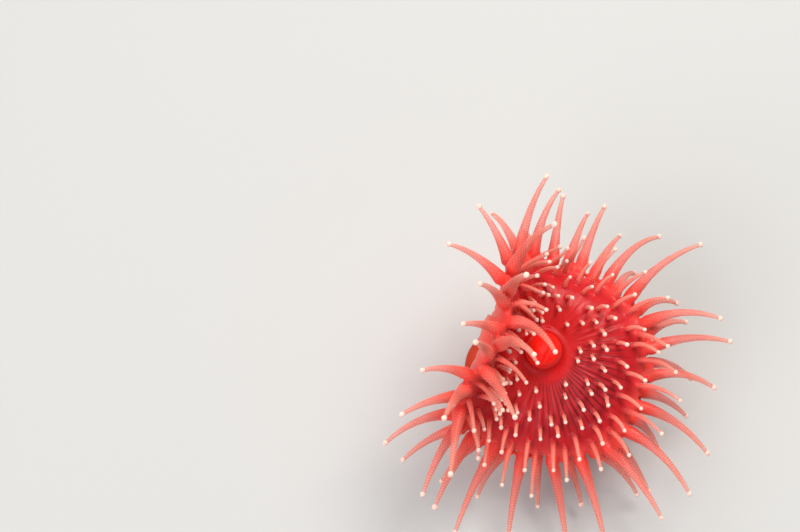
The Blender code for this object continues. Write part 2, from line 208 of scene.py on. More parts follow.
def column_radius(height):
    """Below the waist the column widens, slowly at first, to the skirt of the foot."""
    down = 1.0 - height / WAIST_HEIGHT
    return WAIST_RADIUS + (FOOT_RADIUS - WAIST_RADIUS) * ((1.0 - SKIRT_SHARE) * down + SKIRT_SHARE * down**4)


def bezier(start, after, before, end, t):
    s = 1.0 - t
    return s**3 * start + 3 * s**2 * t * after + 3 * s * t**2 * before + t**3 * end


def foot_rings(theta):
    """(rings, stations): flat below, round the edge, and up into the column."""
    rings = [foot_ring(theta, FOOT_RADIUS * share, 0.0) for share in SOLE_RINGS]
    centre = np.array([FOOT_RADIUS - FOOT_EDGE, FOOT_EDGE])
    for angle in np.radians(EDGE_ANGLES):
        radius, height = centre + FOOT_EDGE * np.array([cos(angle), sin(angle)])
        rings.append(foot_ring(theta, radius, height))
    start = centre + FOOT_EDGE * np.array([cos(EDGE_LEAVES), sin(EDGE_LEAVES)])
    end = np.array([column_radius(FOOT_BLEND), FOOT_BLEND])
    above = np.array([column_radius(1.05 * FOOT_BLEND), 1.05 * FOOT_BLEND])
    after = start + EDGE_KEEPS * np.array([-sin(EDGE_LEAVES), cos(EDGE_LEAVES)])
    before = end - EDGE_KEEPS * unit(above - end)
    for t in np.linspace(0.0, 0.9, 7):
        radius, height = bezier(start, after, before, end, t)
        rings.append(foot_ring(theta, radius, height))
    return rings, list(np.linspace(4.0, 3.8, len(rings)))


def column_rings(theta):
    heights = np.linspace(FOOT_BLEND, WAIST_HEIGHT, 18)[:-1]
    rings = [foot_ring(theta, column_radius(height), height) for height in heights]
    return rings, list(np.linspace(3.8, 3.0, len(rings) + 1)[:-1])


def wall_rings(theta):
    """The flared wall, from the waist up to where it runs into the margin."""
    middle, outward, normal = margin_middle(theta)
    start = middle + DISC_THICK / 2 * (outward * sin(WALL_OPEN) - normal * cos(WALL_OPEN))
    end = foot_ring(theta, WAIST_RADIUS, WAIST_HEIGHT)
    reach = np.linalg.norm(end - start, axis=-1, keepdims=True)
    after = start - WALL_LEAVES * reach * (outward * cos(WALL_OPEN) + normal * sin(WALL_OPEN))
    before = end + WALL_ARRIVES * reach * np.array([0.0, 0.0, 1.0])
    drops = np.linspace(1.0, 0.0, 38)
    return [bezier(start, after, before, end, drop) for drop in drops], list(2.0 + drops)


def margin_rings(theta):
    middle, outward, normal = margin_middle(theta)
    angles = np.radians(np.linspace(-90 + np.degrees(WALL_OPEN), 90, 8)[1:-1])
    rings = [middle + DISC_THICK / 2 * (outward * cos(a) + normal * sin(a)) for a in angles]
    return rings, [2.0] * len(rings)


def disc_rings(theta):
    """The top of the disc, from the margin in to the foot of the mouth's mound."""
    outer = 1.0 - DISC_THICK / 2 / DISC_SPAN
    inner = (MOUTH_RADIUS + MOUTH_SKIRT) / DISC_SPAN
    spans = np.linspace(outer, inner, 36)
    return [disc_point(span, theta) for span in spans], list(1.0 + (spans - inner) / (1.0 - inner))


def mouth_rings(theta):
    """The mound: a hollow skirt, a steep side, and a round top with the closed slit between two lips."""
    away = np.outer(np.cos(theta), DISC_RIGHT) + np.outer(np.sin(theta), DISC_BACK)
    slit_line = cos(SLIT_AT) * DISC_RIGHT + sin(SLIT_AT) * DISC_BACK
    along, aside = away @ slit_line, away @ np.cross(DISC_UP, slit_line)
    profile = []
    for turn in np.radians(SKIRT_ANGLES):
        profile.append((MOUTH_RADIUS + MOUTH_SKIRT * (1 - sin(turn)), SKIRT_HEIGHT * (1 - cos(turn)), 0.0))
    for share in (*MOUND_RINGS, *np.linspace(0.81, 0.04, 15)):
        angle = np.arccos(share**MOUND_ROUND)
        profile.append((MOUTH_RADIUS * share, PART_GAP + MOUTH_RISE * sin(angle), sin(angle) ** 2))
    rings = []
    for radius, height, lean in profile:
        end_fade = np.clip(1.0 - (radius * along / SLIT_HALF_LENGTH) ** 2, 0.0, 1.0) ** 0.5
        offset = radius * np.abs(aside)
        slit = SLIT_DEPTH * end_fade * np.exp(-((offset / SLIT_HALF_WIDTH) ** 2))
        lips = LIP_RISE * end_fade * np.exp(-(((offset - LIP_OFFSET) / LIP_WIDTH) ** 2))
        centre = DISC_CENTRE - np.array([0.0, MOUTH_LEAN * lean, 0.0])
        rings.append(centre + radius * away + (height + lips - slit)[:, None] * DISC_UP)
    return rings, list(np.linspace(1.0, 0.0, len(rings) + 1)[:-1])


def body_grid():
    """(points of each ring, its station, angle of each column). Stations run 0 at the mouth, 1 at its
    edge, 2 at the margin, 3 at the waist and 4 under the foot."""
    theta = margin_angles(RAYS * COLUMNS_PER_RAY)
    rings, stations = [], []
    for make in (foot_rings, column_rings, wall_rings, margin_rings, disc_rings, mouth_rings):
        more_rings, more_stations = make(theta)
        rings += more_rings
        stations += more_stations
    return np.array(rings), np.array(stations), theta


def relief(grid, stations, theta):
    """Moves the skin along its normal: furrows on the disc, ridges and soft swells on the wall."""
    around = np.roll(grid, -1, axis=1) - np.roll(grid, 1, axis=1)
    normal = unit(np.cross(around, np.gradient(grid, axis=0)))
    station = stations[:, None]
    ray = np.arange(len(theta)) / COLUMNS_PER_RAY * 2 * pi
    on_disc = ease((station - 1.08) / 0.2) * ease((1.98 - station) / 0.12)
    on_wall = ease((station - 2.04) / 0.25) * ease((3.97 - station) / 0.25)
    furrows = FURROW * on_disc * np.cos(RIDGES_PER_RAY * ray)
    ridges = RIDGE * on_wall * np.cos(RIDGES_PER_RAY * ray + 0.4 * np.sin(5 * station))
    broken = 0.5 + 0.5 * np.sin(5 * theta + 6 * station)
    wrinkle = np.sin(26 * station + 2.2 * np.sin(3 * theta) + np.sin(7 * theta + 2))
    creases = CREASE * on_wall * broken * wrinkle
    swells = SWELL * on_wall * np.sin(3 * theta + 2.2 * station) * np.sin(4.1 * station + 0.7)
    return grid + (furrows + ridges + creases + swells)[..., None] * normal


def skin_faces(rings, sides):
    """Quads between the rings, and a fan of triangles to the pole at each end."""
    turn = np.arange(sides)
    after = (turn + 1) % sides
    faces = [(rings * sides, a, b) for a, b in zip(after, turn)]
    for r in range(rings - 1):
        low, high = r * sides, (r + 1) * sides
        faces += list(zip(low + turn, low + after, high + after, high + turn))
    last = (rings - 1) * sides
    return faces + [(rings * sides + 1, last + a, last + b) for a, b in zip(turn, after)]


def link_mesh(name, mesh):
    piece = bpy.data.objects.new(name, mesh)
    bpy.context.scene.collection.objects.link(piece)
    return piece


grid, stations, columns = body_grid()
grid = relief(grid, stations, columns)
poles = [[0.0, 0.0, 0.0], grid[-1].mean(axis=0)]
body_points = np.concatenate([grid.reshape(-1, 3), poles])
body_mesh = bpy.data.meshes.new("body")
body_mesh.from_pydata(body_points.tolist(), [], skin_faces(len(grid), len(columns)))
body = link_mesh("body", body_mesh)


# ---------------------------------------------------------------- the stalks of the tentacles
# Hollow fingers of the same flesh, filled with water: long ones in two rows on the margin, and six
# shorter rows on the disc, down to stubs beside the mouth.  Each one tapers to a narrow neck and hangs
# over under its own weight.  Their middle lines come from the same rule as in the solids.
SAG = np.array([0.06, -0.80, -0.60])  # the way the tentacles hang over
SPRING = 0.35  # how much of that turn a tentacle first makes the other way
TOUCH_GAP = 0.0003  # the least clearance between two tentacles
OWN_CURL = 0.2  # how firmly a tentacle that is pushed aside goes back to its own curl
LOWEST_TIP = 0.0022  # no tentacle hangs lower than this above the floor
NECK_RADIUS = 0.00025
TAPER = 0.85  # under 1, a stalk keeps its thickness a little longer than a cone
FLARE = 0.10  # the extra thickness at the very root, as a share, and how fast it fades
FLARE_FADE = 14
CLUB_RADIUS = 0.00035
ROOT_DEPTH = 0.00036  # how deep the short tentacles are rooted in the disc
LINE_POINTS = 9
LINE_STEP = 0.00028  # from one ring of the skin to the next along a stalk
LONG_SWELL = 0.38  # how much thicker a long stalk's root is than in the solids, where roots may not touch
LONG_SLIM = 0.14  # how much thinner its middle is
NECK_SLIM = 0.26  # how much thinner its neck is, so that the round knob stands out on it
SHORT_SLIMMER = 0.62  # how thick a short stalk is, as a share of the solids' radius
TURNS_PALE = 0.26  # the share of its length over which a stalk turns from the body's colour to its own
CLEAR_FROM = 0.0012  # from the root, where a stalk begins to be see-through, and over what length
CLEAR_OVER = 0.0030
HIDDEN_REACH = 0.6  # how far out of the margin's middle a long stalk's hidden end comes, as a share
HIDDEN_GIRTHS = np.array([0.52, 0.70, 0.86])  # how thick that end is, against the root

MARGIN_ROWS = (
    dict(name="upper", between=0.0, length=0.0086, girth=0.00056, lift=28,
         folded=(66, 22), shorter=0.28, stiffer=0.1),
    dict(name="lower", between=0.5, length=0.0074, girth=0.00054, lift=-12,
         folded=(-34, -12), shorter=0.24, stiffer=0.3),
)
DISC_ROWS = (
    dict(span=0.89, between=0.5, every=1, length=0.0044, girth=0.00047, lift=52, folded=56),
    dict(span=0.79, between=0.0, every=1, length=0.0031, girth=0.00043, lift=64, folded=66),
    dict(span=0.67, between=0.5, every=1, length=0.0020, girth=0.00037, lift=78, folded=76),
    dict(span=0.56, between=0.0, every=1, length=0.0017, girth=0.00034, lift=84, folded=80),
    dict(span=0.44, between=0.5, every=2, length=0.0014, girth=0.00031, lift=86, folded=86),
    dict(span=0.33, between=0.0, every=3, length=0.0012, girth=0.00030, lift=88, folded=88),
)
POSED = {
    "upper_11": dict(turn=0, aside=0.45, sag=2.8),
    "upper_15": dict(turn=-10, aside=0.0, sag=0.8),
    "upper_05": dict(turn=6, aside=0.0, sag=0.5),
    "lower_04": dict(turn=34, aside=-0.20, sag=0.6),
    "lower_05": dict(turn=30, aside=0.0, sag=0.6),
    "lower_19": dict(turn=8, aside=0.25, sag=0.8),
}
LONG_TURN = 9  # the most that each tentacle may differ from its row, as in the solids
LONG_ASIDE = 0.20
LONG_LENGTH = 0.14
LONG_SAG = (0.80, 0.30)
SHORT_SPAN = 0.030
SHORT_ROUND = 0.05
SHORT_TURN = 8
SHORT_LENGTH = 0.16
SHORT_SAG = (1.0, 0.3)


def scatter(*seeds):
    """A steady value from -1 to 1 that looks random, the same on every run."""
    wave = sin(sum(seed * pull for seed, pull in zip(seeds, (12.99, 78.23, 37.72, 9.16)))) * 43758.55
    return 2.0 * (wave % 1.0) - 1.0


def hanging_line(root, heading, length, sag):
    """Points of a line that springs up a little at its root, and turns step by step to hang over."""
    points = [root]
    heading = unit(heading - SPRING * sag * SAG)
    steps = LINE_POINTS - 1
    for _ in range(steps):
        points.append(points[-1] + heading * length / steps)
        heading = unit(heading + SAG * sag / steps)
    return np.array(points)


def lean_off(outward, normal, angle):
    return outward * cos(radians(angle)) + normal * sin(radians(angle))


def margin_tentacles():
    made = []
    for row, spec in enumerate(MARGIN_ROWS):
        for k, theta in enumerate(margin_angles(RAYS, spec["between"])):
            middle, outward, normal = margin_middle(theta)
            folded = fold(theta)
            leaned = (spec["folded"][k % 2] - spec["lift"]) * folded
            pose = POSED.get(f"{spec['name']}_{k + 1:02d}", dict(turn=0, aside=0.0, sag=1.0))
            angle = spec["lift"] + leaned + pose["turn"] + LONG_TURN * scatter(k, row)
            aside = (pose["aside"] + LONG_ASIDE * scatter(k, row, 1)) * np.cross(normal, outward)
            heading = unit(lean_off(outward, normal, angle) + aside)
            root = middle + (DISC_THICK / 2 + PART_GAP) * heading
            length = spec["length"] * (1 + LONG_LENGTH * scatter(k, row, 2)) * (1 - spec["shorter"] * folded)
            usual_sag, sag_spread = LONG_SAG
            sag = pose["sag"] * (usual_sag + sag_spread * scatter(k, row, 3)) * (1 - spec["stiffer"] * folded)
            line = hanging_line(root, heading, length, sag)
            made.append(dict(row=spec["name"], line=line, girth=spec["girth"], start=middle))
    return made


def disc_tentacles():
    made = []
    for row, spec in enumerate(DISC_ROWS):
        for k, theta in enumerate(margin_angles(RAYS, spec["between"])):
            if k % spec["every"]:
                continue
            span = spec["span"] + SHORT_SPAN * scatter(k, row, 4)
            point, outward, normal = disc_frame(span, theta + SHORT_ROUND * scatter(k, row, 5))
            folded = (spec["folded"] - spec["lift"]) * fold(theta)
            heading = lean_off(outward, normal, spec["lift"] + folded + SHORT_TURN * scatter(k, row, 6))
            root = point - ROOT_DEPTH * normal
            length = spec["length"] * (1 + SHORT_LENGTH * scatter(k, row, 7))
            usual_sag, sag_spread = SHORT_SAG
            line = hanging_line(root, heading, length, usual_sag + sag_spread * scatter(k, row, 8))
            made.append(dict(row="disc", line=line, girth=spec["girth"], start=None))
    return made


def tentacle_radius(share, girth):
    """The radius of the stalk: a flared root, then a taper to the neck."""
    tapered = NECK_RADIUS + (girth - NECK_RADIUS) * (1.0 - share) ** TAPER
    return tapered + FLARE * girth * np.exp(-FLARE_FADE * share)


def ease_apart(tentacles, rounds=80):
    """Bends tentacles that would touch away from each other. Roots, lengths and curls stay as they are."""
    lines = np.array([t["line"] for t in tentacles])
    lengths = np.linalg.norm(lines[:, 1] - lines[:, 0], axis=-1)[:, None]
    curls = np.diff(unit(np.diff(lines, axis=1)), axis=1)
    share = np.linspace(0.0, 1.0, LINE_POINTS)
    radii = np.array([tentacle_radius(share, t["girth"]) for t in tentacles])
    radii[:, -1] = CLUB_RADIUS
    owner = np.repeat(np.arange(len(lines)), LINE_POINTS)
    apart = radii.reshape(-1, 1) + radii.reshape(1, -1) + TOUCH_GAP
    apart[owner[:, None] == owner[None, :]] = 0.0
    for _ in range(rounds):
        points = lines.reshape(-1, 3)
        between = points[:, None] - points[None, :]
        distance = np.linalg.norm(between, axis=-1)
        short = np.clip(apart - distance, 0.0, None) / np.maximum(distance, 1e-9)
        push = 0.5 * (short[..., None] * between).sum(axis=1).reshape(lines.shape)
        push[..., 2] += np.clip(LOWEST_TIP - lines[..., 2].min(axis=1), 0.0, None)[:, None]
        lines = lines + push * share[None, :, None]
        for i in range(2, LINE_POINTS):
            step = unit(lines[:, i] - lines[:, i - 1])
            rest = unit(lines[:, i - 1] - lines[:, i - 2]) + curls[:, i - 2]
            lines[:, i] = lines[:, i - 1] + lengths * unit((1.0 - OWN_CURL) * step + OWN_CURL * rest)
    for t, line in zip(tentacles, lines):
        t["line"] = line


def smooth_line(line, spacing):
    """The same line as a smooth curve, with a point about every so far."""
    length = np.linalg.norm(np.diff(line, axis=0), axis=1).sum()
    count = max(6, round(length / spacing) + 1)
    padded = np.concatenate([[2 * line[0] - line[1]], line, [2 * line[-1] - line[-2]]])
    place = np.linspace(0.0, len(line) - 1 - 1e-9, count)
    i = place.astype(int)
    t = (place - i)[:, None]
    a, b, c, d = padded[i], padded[i + 1], padded[i + 2], padded[i + 3]
    return 0.5 * (2 * b + (c - a) * t + (2 * a - 5 * b + 4 * c - d) * t**2 + (3 * b - a - 3 * c + d) * t**3)


def stalk_line(tentacle):
    """One stalk's middle line, with its thickness and what its colour follows, from root to neck."""
    points = smooth_line(tentacle["line"], LINE_STEP)
    share = np.linspace(0.0, 1.0, len(points))
    girth = tentacle_radius(share, tentacle["girth"])
    if tentacle["start"] is None:
        girth = girth * SHORT_SLIMMER
        buried = ROOT_DEPTH
    else:
        # A long tentacle rises out of the margin's middle, so its hidden end is narrower than the margin.
        girth = girth * (1.0 + LONG_SWELL * (1.0 - share) ** 2 - LONG_SLIM * 4.0 * share * (1.0 - share))
        girth = girth * (1.0 - NECK_SLIM * share**3)
        reach = np.linspace(0.0, HIDDEN_REACH, 3)[:, None]
        inside = tentacle["start"] + reach * (points[0] - tentacle["start"])
        points = np.concatenate([inside, points])
        share = np.concatenate([[0.0, 0.0, 0.0], share])
        girth = np.concatenate([girth[0] * HIDDEN_GIRTHS, girth])
        buried = DISC_THICK / 2 + PART_GAP
    along = np.concatenate([[0.0], np.cumsum(np.linalg.norm(np.diff(points, axis=0), axis=1))])
    pale = ease((along - buried) / (TURNS_PALE * (along[-1] - buried)))
    clear = ease((along - CLEAR_FROM) / CLEAR_OVER)
    return dict(points=points, girth=girth, share=share, pale=pale, clear=clear)


def lines_mesh(name, lines):
    """One mesh of open lines, with the lines' other values as attributes of its points."""
    edges, first = [], 0
    for line in lines:
        edges += [(first + i, first + i + 1) for i in range(len(line["points"]) - 1)]
        first += len(line["points"])
    mesh = bpy.data.meshes.new(name)
    mesh.from_pydata(np.concatenate([line["points"] for line in lines]).tolist(), edges, [])
    for attribute in ("girth", "share", "pale", "clear"):
        values = np.concatenate([line[attribute] for line in lines])
        mesh.attributes.new(attribute, "FLOAT", "POINT").data.foreach_set("value", values)
    return mesh


def add_node(tree, kind, links=None, **settings):
    """Adds a node with its settings. Each link is an input and its source: an output, a node or a value."""
    node = tree.nodes.new(kind)
    for setting, value in settings.items():
        setattr(node, setting, value)
    for place, source in (links or {}).items():
        if isinstance(source, bpy.types.Node):
            source = source.outputs[0]
        if isinstance(source, bpy.types.NodeSocket):
            tree.links.new(source, node.inputs[place])
        else:
            node.inputs[place].default_value = source
    return node


def start_tree(name, **inputs):
    """A Geometry Nodes tree with these named inputs, and its Group Input node."""
    tree = bpy.data.node_groups.new(name, "GeometryNodeTree")
    tree.interface.new_socket("Geometry", in_out="INPUT", socket_type="NodeSocketGeometry")
    tree.interface.new_socket("Geometry", in_out="OUTPUT", socket_type="NodeSocketGeometry")
    for title, kind in inputs.items():
        tree.interface.new_socket(title, in_out="INPUT", socket_type="NodeSocket" + kind)
    return tree, add_node(tree, "NodeGroupInput")


def end_tree(tree, geometry, material):
    """Ends the tree in plain smooth geometry with its material."""
    real = add_node(tree, "GeometryNodeRealizeInstances", {"Geometry": geometry})
    smooth = add_node(tree, "GeometryNodeSetShadeSmooth", {"Geometry": real})
    painted = add_node(tree, "GeometryNodeSetMaterial", {"Geometry": smooth, "Material": material})
    add_node(tree, "NodeGroupOutput", {0: painted})


def grow(name, mesh, tree, **sizes):
    """Runs the tree on a mesh with these sizes, and keeps the result as a plain mesh."""
    source = link_mesh(name + "_source", mesh)
    modifier = source.modifiers.new("grow", "NODES")
    modifier.node_group = tree
    for item in tree.interface.items_tree:
        if item.in_out == "INPUT" and item.name in sizes:
            modifier[item.identifier] = sizes[item.name]
    bpy.context.view_layer.update()
    grown = bpy.data.meshes.new_from_object(source.evaluated_get(bpy.context.evaluated_depsgraph_get()))
    source.modifiers.clear()
    bpy.data.objects.remove(source)
    grown.name = name
    return link_mesh(name, grown)


def stalk_tree(material):
    """A round tube along each line, as thick as the line's girth says."""
    tree, given = start_tree("stalk tubes", Sides="Int")
    line = add_node(tree, "GeometryNodeMeshToCurve", {"Mesh": given})
    round_shape = {"Resolution": given.outputs["Sides"], "Radius": 1.0}
    ring = add_node(tree, "GeometryNodeCurvePrimitiveCircle", round_shape)
    girth = add_node(tree, "GeometryNodeInputNamedAttribute", {"Name": "girth"}, data_type="FLOAT")
    shape = {"Curve": line, "Profile Curve": ring, "Scale": girth, "Fill Caps": True}
    end_tree(tree, add_node(tree, "GeometryNodeCurveToMesh", shape), material)
    return tree


tentacles = margin_tentacles() + disc_tentacles()
ease_apart(tentacles)
for tentacle in tentacles:
    tentacle["stalk"] = stalk_line(tentacle)

flesh = bpy.data.materials.new("translucent_wet_flesh")
tubes = stalk_tree(flesh)
stalks = []
for row in ("upper", "lower", "disc"):
    row_lines = lines_mesh(row + "_stalk_lines", [t["stalk"] for t in tentacles if t["row"] == row])
    stalks.append(grow(row + "_stalks", row_lines, tubes, Sides=12))


# ---------------------------------------------------------------- one skin
# The stalks grow out of the body without a seam, so the two are joined, and the corner round each root
# is drawn smooth into a little web.  Each point of the skin remembers what part of the body it was.
ROOT_SMOOTHING = 0.00050  # how far from a root's corner the skin is drawn smooth
SMOOTHING_ROUNDS = 10
SAME_PLACE = 2e-7  # points closer than this are the same point


def nearest(points, targets):
    """For each point, the number of the nearest target and the distance to it."""
    tree = KDTree(len(targets))
    for number, target in enumerate(targets):
        tree.insert(target, number)
    tree.balance()
    found = [tree.find(point)[1:] for point in points]
    return np.array([number for number, _ in found]), np.array([distance for _, distance in found])


def read_points(mesh):
    flat = np.empty(len(mesh.vertices) * 3, np.float32)
    mesh.vertices.foreach_get("co", flat)
    return flat.reshape(-1, 3).astype(float)


def read_values(mesh, attribute):
    flat = np.empty(len(mesh.vertices), np.float32)
    mesh.attributes[attribute].data.foreach_get("value", flat)
    return flat


def write_attribute(mesh, name, kind, values):
    """Stores a number, a vector or a colour for each point of the mesh."""
    field = {"FLOAT": "value", "FLOAT_VECTOR": "vector", "FLOAT_COLOR": "color"}[kind]
    mesh.attributes.new(name, kind, "POINT").data.foreach_set(field, values.astype(np.float32).ravel())


def draw_smooth(mesh, points, weight):
    """Moves each point towards the middle of its neighbours, by its weight, several times."""
    ends = np.empty(len(mesh.edges) * 2, np.int32)
    mesh.edges.foreach_get("vertices", ends)
    a, b = ends.reshape(-1, 2).T
    count = np.bincount(np.concatenate([a, b]), minlength=len(points))[:, None]
    for _ in range(SMOOTHING_ROUNDS):
        total = np.zeros_like(points)
        np.add.at(total, a, points[b])
        np.add.at(total, b, points[a])
        points = points + 0.5 * weight[:, None] * (total / np.maximum(count, 1) - points)
    return points


for row_stalks in stalks:
    joining = body.modifiers.new("join the stalks", "BOOLEAN")
    joining.operation = "UNION"
    joining.solver = "MANIFOLD"
    joining.object = row_stalks
bpy.context.view_layer.update()
skin_mesh = bpy.data.meshes.new_from_object(body.evaluated_get(bpy.context.evaluated_depsgraph_get()))
body.modifiers.clear()
skin_mesh.name = "skin"
skin_points = read_points(skin_mesh)
near_body, off_body = nearest(skin_points, body_points)
near_stalk, off_stalk = nearest(skin_points, np.concatenate([read_points(tube.data) for tube in stalks]))
on_stalk = off_stalk < np.minimum(off_body, SAME_PLACE)
share, pale, clear = (
    np.where(on_stalk, np.concatenate([read_values(tube.data, name) for tube in stalks])[near_stalk], 0.0)
    for name in ("share", "pale", "clear")
)
on_corner = (off_body > SAME_PLACE) & (off_stalk > SAME_PLACE)
_, off_corner = nearest(skin_points, skin_points[on_corner])
skin_points = draw_smooth(skin_mesh, skin_points, np.exp(-((off_corner / ROOT_SMOOTHING) ** 2)))
skin_points[:, 2] = np.maximum(skin_points[:, 2], 0.0)
skin_mesh.vertices.foreach_set("co", skin_points.astype(np.float32).ravel())
skin_mesh.shade_smooth()
skin_mesh.materials.clear()
skin_mesh.materials.append(flesh)
skin = link_mesh("skin", skin_mesh)
for scaffold in (body, *stalks):
    bpy.data.objects.remove(scaffold)


# ---------------------------------------------------------------- the flesh's finish
# Live flesh, wet and a little see-through: scarlet lips, a crimson disc with fine dark lines of painted shade
# where the walls of the chambers hang below it, and painted shade of the dark unlit inside on its thin side,
# a bright red margin, an orange-red wall, and stalks that turn pale.
BODY_COLOURS = (  # by station
    (0.00, "#F41006"),
    (0.40, "#FF1A08"),
    (0.74, "#FF1C0A"),
    (0.84, "#CC080A"),
    (1.20, "#CA0C12"),
    (1.50, "#C20E18"),
    (1.80, "#CC1C24"),
    (1.96, "#EA4842"),
    (2.08, "#EC4430"),
    (2.48, "#E63E20"),
    (3.12, "#E84622"),
    (3.80, "#D03E20"),
    (4.00, "#98301E"),
)
STALK_COLOURS = (  # from the root to the neck
    (0.00, "#F45248"),
    (0.25, "#F66A5C"),
    (0.70, "#F88674"),
    (1.00, "#FAA896"),
)
RIDGE_COLOUR = "#F47A50"  # the crests of the wall's ridges, where the flesh is drawn thin
THIN_DISC_SHADE_COLOUR = "#7E1A30"  # painted shade: where the disc is stretched thin, its dark unlit inside is painted as showing through
THIN_SIDE = radians(-48)
THIN_WIDTH = radians(60)
THIN_DISC_SHADE_TINT = 0.55  # how strongly these two colours show
RIDGE_TINT = 0.22
MUSCLE_TINT = 0.45  # how strongly the threads of muscle show on the disc
LINES_PER_RAY = 3  # painted shade: dark lines where the walls of the chambers hang below the thin side
SEE_THROUGH = 0.46  # how much of what is behind a stalk shows at its tip


def linear(code):
    """An sRGB hex colour as linear red, green, blue and alpha."""
    parts = [int(code[i : i + 2], 16) / 255 for i in (1, 3, 5)]
    return (*(c / 12.92 if c <= 0.04045 else ((c + 0.055) / 1.055) ** 2.4 for c in parts), 1.0)


def blend(stops, place):
    """The colour at each of these places along a row of stops."""
    colours = np.array([linear(code) for _, code in stops])
    return np.stack([np.interp(place, [stop for stop, _ in stops], channel) for channel in colours.T], -1)


def paint_flesh(mesh):
    """Stores each point's own colour, and how much of each fine marking it carries."""
    column = near_body % len(columns)
    station = np.concatenate([np.repeat(stations, len(columns)), [4.0, 0.0]])[near_body]
    theta = columns[column]
    ray = column / COLUMNS_PER_RAY * 2 * pi
    on_disc = ease((station - 1.00) / 0.12) * ease((1.95 - station) / 0.50) * (1.0 - on_stalk)
    # Painted shade: the thin side of the disc is darkened as if its dark unlit inside showed through.
    thin_disc_shade = on_disc * np.exp(-((((theta - THIN_SIDE + pi) % (2 * pi) - pi) / THIN_WIDTH) ** 2))
    colour = blend(BODY_COLOURS, station)
    colour += THIN_DISC_SHADE_TINT * thin_disc_shade[:, None] * (np.array(linear(THIN_DISC_SHADE_COLOUR)) - colour)
    on_wall = ease((station - 2.1) / 0.3) * ease((3.95 - station) / 0.3)
    ridge = on_wall * (0.5 + 0.5 * np.cos(RIDGES_PER_RAY * ray + 0.4 * np.sin(5 * station))) ** 2
    colour += RIDGE_TINT * ridge[:, None] * (np.array(linear(RIDGE_COLOUR)) - colour)
    colour += pale[:, None] * (blend(STALK_COLOURS, share) - colour)
    write_attribute(mesh, "flesh", "FLOAT_COLOR", colour)
    write_attribute(mesh, "wave", "FLOAT", 0.5 + 0.5 * np.cos(LINES_PER_RAY * ray))
    write_attribute(mesh, "thin_disc_shade", "FLOAT", thin_disc_shade)
    write_attribute(mesh, "muscle", "FLOAT", MUSCLE_TINT * on_disc)
    write_attribute(mesh, "opacity", "FLOAT", 1.0 - SEE_THROUGH * clear)
    threads = DISC_SPAN * np.stack([np.cos(theta), np.sin(theta), 0.14 * station], -1)
    write_attribute(mesh, "threads", "FLOAT_VECTOR", threads)


def finish_flesh(material):
    material.use_nodes = True
    tree = material.node_tree
    shader = tree.nodes["Principled BSDF"]
    place = add_node(tree, "ShaderNodeTexCoord").outputs["Object"]
    colour = add_node(tree, "ShaderNodeAttribute", attribute_name="flesh").outputs["Color"]
    wave = add_node(tree, "ShaderNodeAttribute", attribute_name="wave").outputs["Fac"]
    thin_disc_shade = add_node(tree, "ShaderNodeAttribute", attribute_name="thin_disc_shade").outputs["Fac"]
    muscle = add_node(tree, "ShaderNodeAttribute", attribute_name="muscle").outputs["Fac"]
    opacity = add_node(tree, "ShaderNodeAttribute", attribute_name="opacity").outputs["Fac"]
    fibre = add_node(tree, "ShaderNodeAttribute", attribute_name="threads").outputs["Vector"]

    # Threads of muscle run out from the mouth: fine streaks, about 0.25 mm apart at the margin.
    noise = add_node(tree, "ShaderNodeTexNoise", {"Vector": fibre, "Scale": 4200.0, "Detail": 2.0})
    spread = {"Value": noise, "From Min": 0.30, "From Max": 0.72}
    threads = add_node(tree, "ShaderNodeMapRange", spread, interpolation_type="SMOOTHSTEP")
    streak = add_node(tree, "ShaderNodeMath", {0: threads, 1: muscle}, operation="MULTIPLY")
    streaked = add_node(tree, "ShaderNodeMix", {0: streak, 6: colour, 7: linear("#DC3830")}, data_type="RGBA")

    # The walls of the chambers below show through the stretched side of the disc as dark lines of painted
    # shade, for the unlit inside.
    narrow = add_node(tree, "ShaderNodeMath", {0: wave, 1: 3.5}, operation="POWER")
    line = add_node(tree, "ShaderNodeMath", {0: narrow, 1: thin_disc_shade}, operation="MULTIPLY")
    dark_line = {0: line, 6: streaked.outputs[2], 7: linear("#2C060E")}
    lined = add_node(tree, "ShaderNodeMix", dark_line, data_type="RGBA")

    # Soft darker clouds about 1.5 mm across, and a grain of gland cells about 0.2 mm across.
    cloud = add_node(tree, "ShaderNodeTexNoise", {"Vector": place, "Scale": 620.0, "Detail": 3.0})
    faint = add_node(tree, "ShaderNodeMath", {0: cloud, 1: 0.16}, operation="MULTIPLY")
    dark_cloud = {0: faint, 6: lined.outputs[2], 7: linear("#8C1016")}
    clouded = add_node(tree, "ShaderNodeMix", dark_cloud, data_type="RGBA")
    grain = add_node(tree, "ShaderNodeTexNoise", {"Vector": place, "Scale": 5200.0, "Detail": 2.0})
    gloss = add_node(tree, "ShaderNodeMapRange", {"Value": grain, "To Min": 0.28, "To Max": 0.46})
    height = add_node(tree, "ShaderNodeMath", {0: grain, 1: 0.5, 2: threads}, operation="MULTIPLY_ADD")
    bump = add_node(tree, "ShaderNodeBump", {"Height": height, "Strength": 0.35, "Distance": 0.00004})
    tree.links.new(clouded.outputs[2], shader.inputs["Base Color"])
    tree.links.new(opacity, shader.inputs["Alpha"])
    tree.links.new(gloss.outputs[0], shader.inputs["Roughness"])
    tree.links.new(bump.outputs[0], shader.inputs["Normal"])
    shader.inputs["IOR"].default_value = 1.38
    shader.inputs["Specular IOR Level"].default_value = 0.4
    shader.inputs["Sheen Weight"].default_value = 0.12
    shader.inputs["Sheen Roughness"].default_value = 0.4
    shader.inputs["Sheen Tint"].default_value = linear("#FFD2C4")
    shader.inputs["Subsurface Weight"].default_value = 0.35
    shader.inputs["Subsurface Radius"].default_value = (1.0, 0.25, 0.18)
    shader.inputs["Subsurface Scale"].default_value = 0.0004


paint_flesh(skin_mesh)
finish_flesh(flesh)
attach(skin, "root")
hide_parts(*sorted(frame["nodes"]))


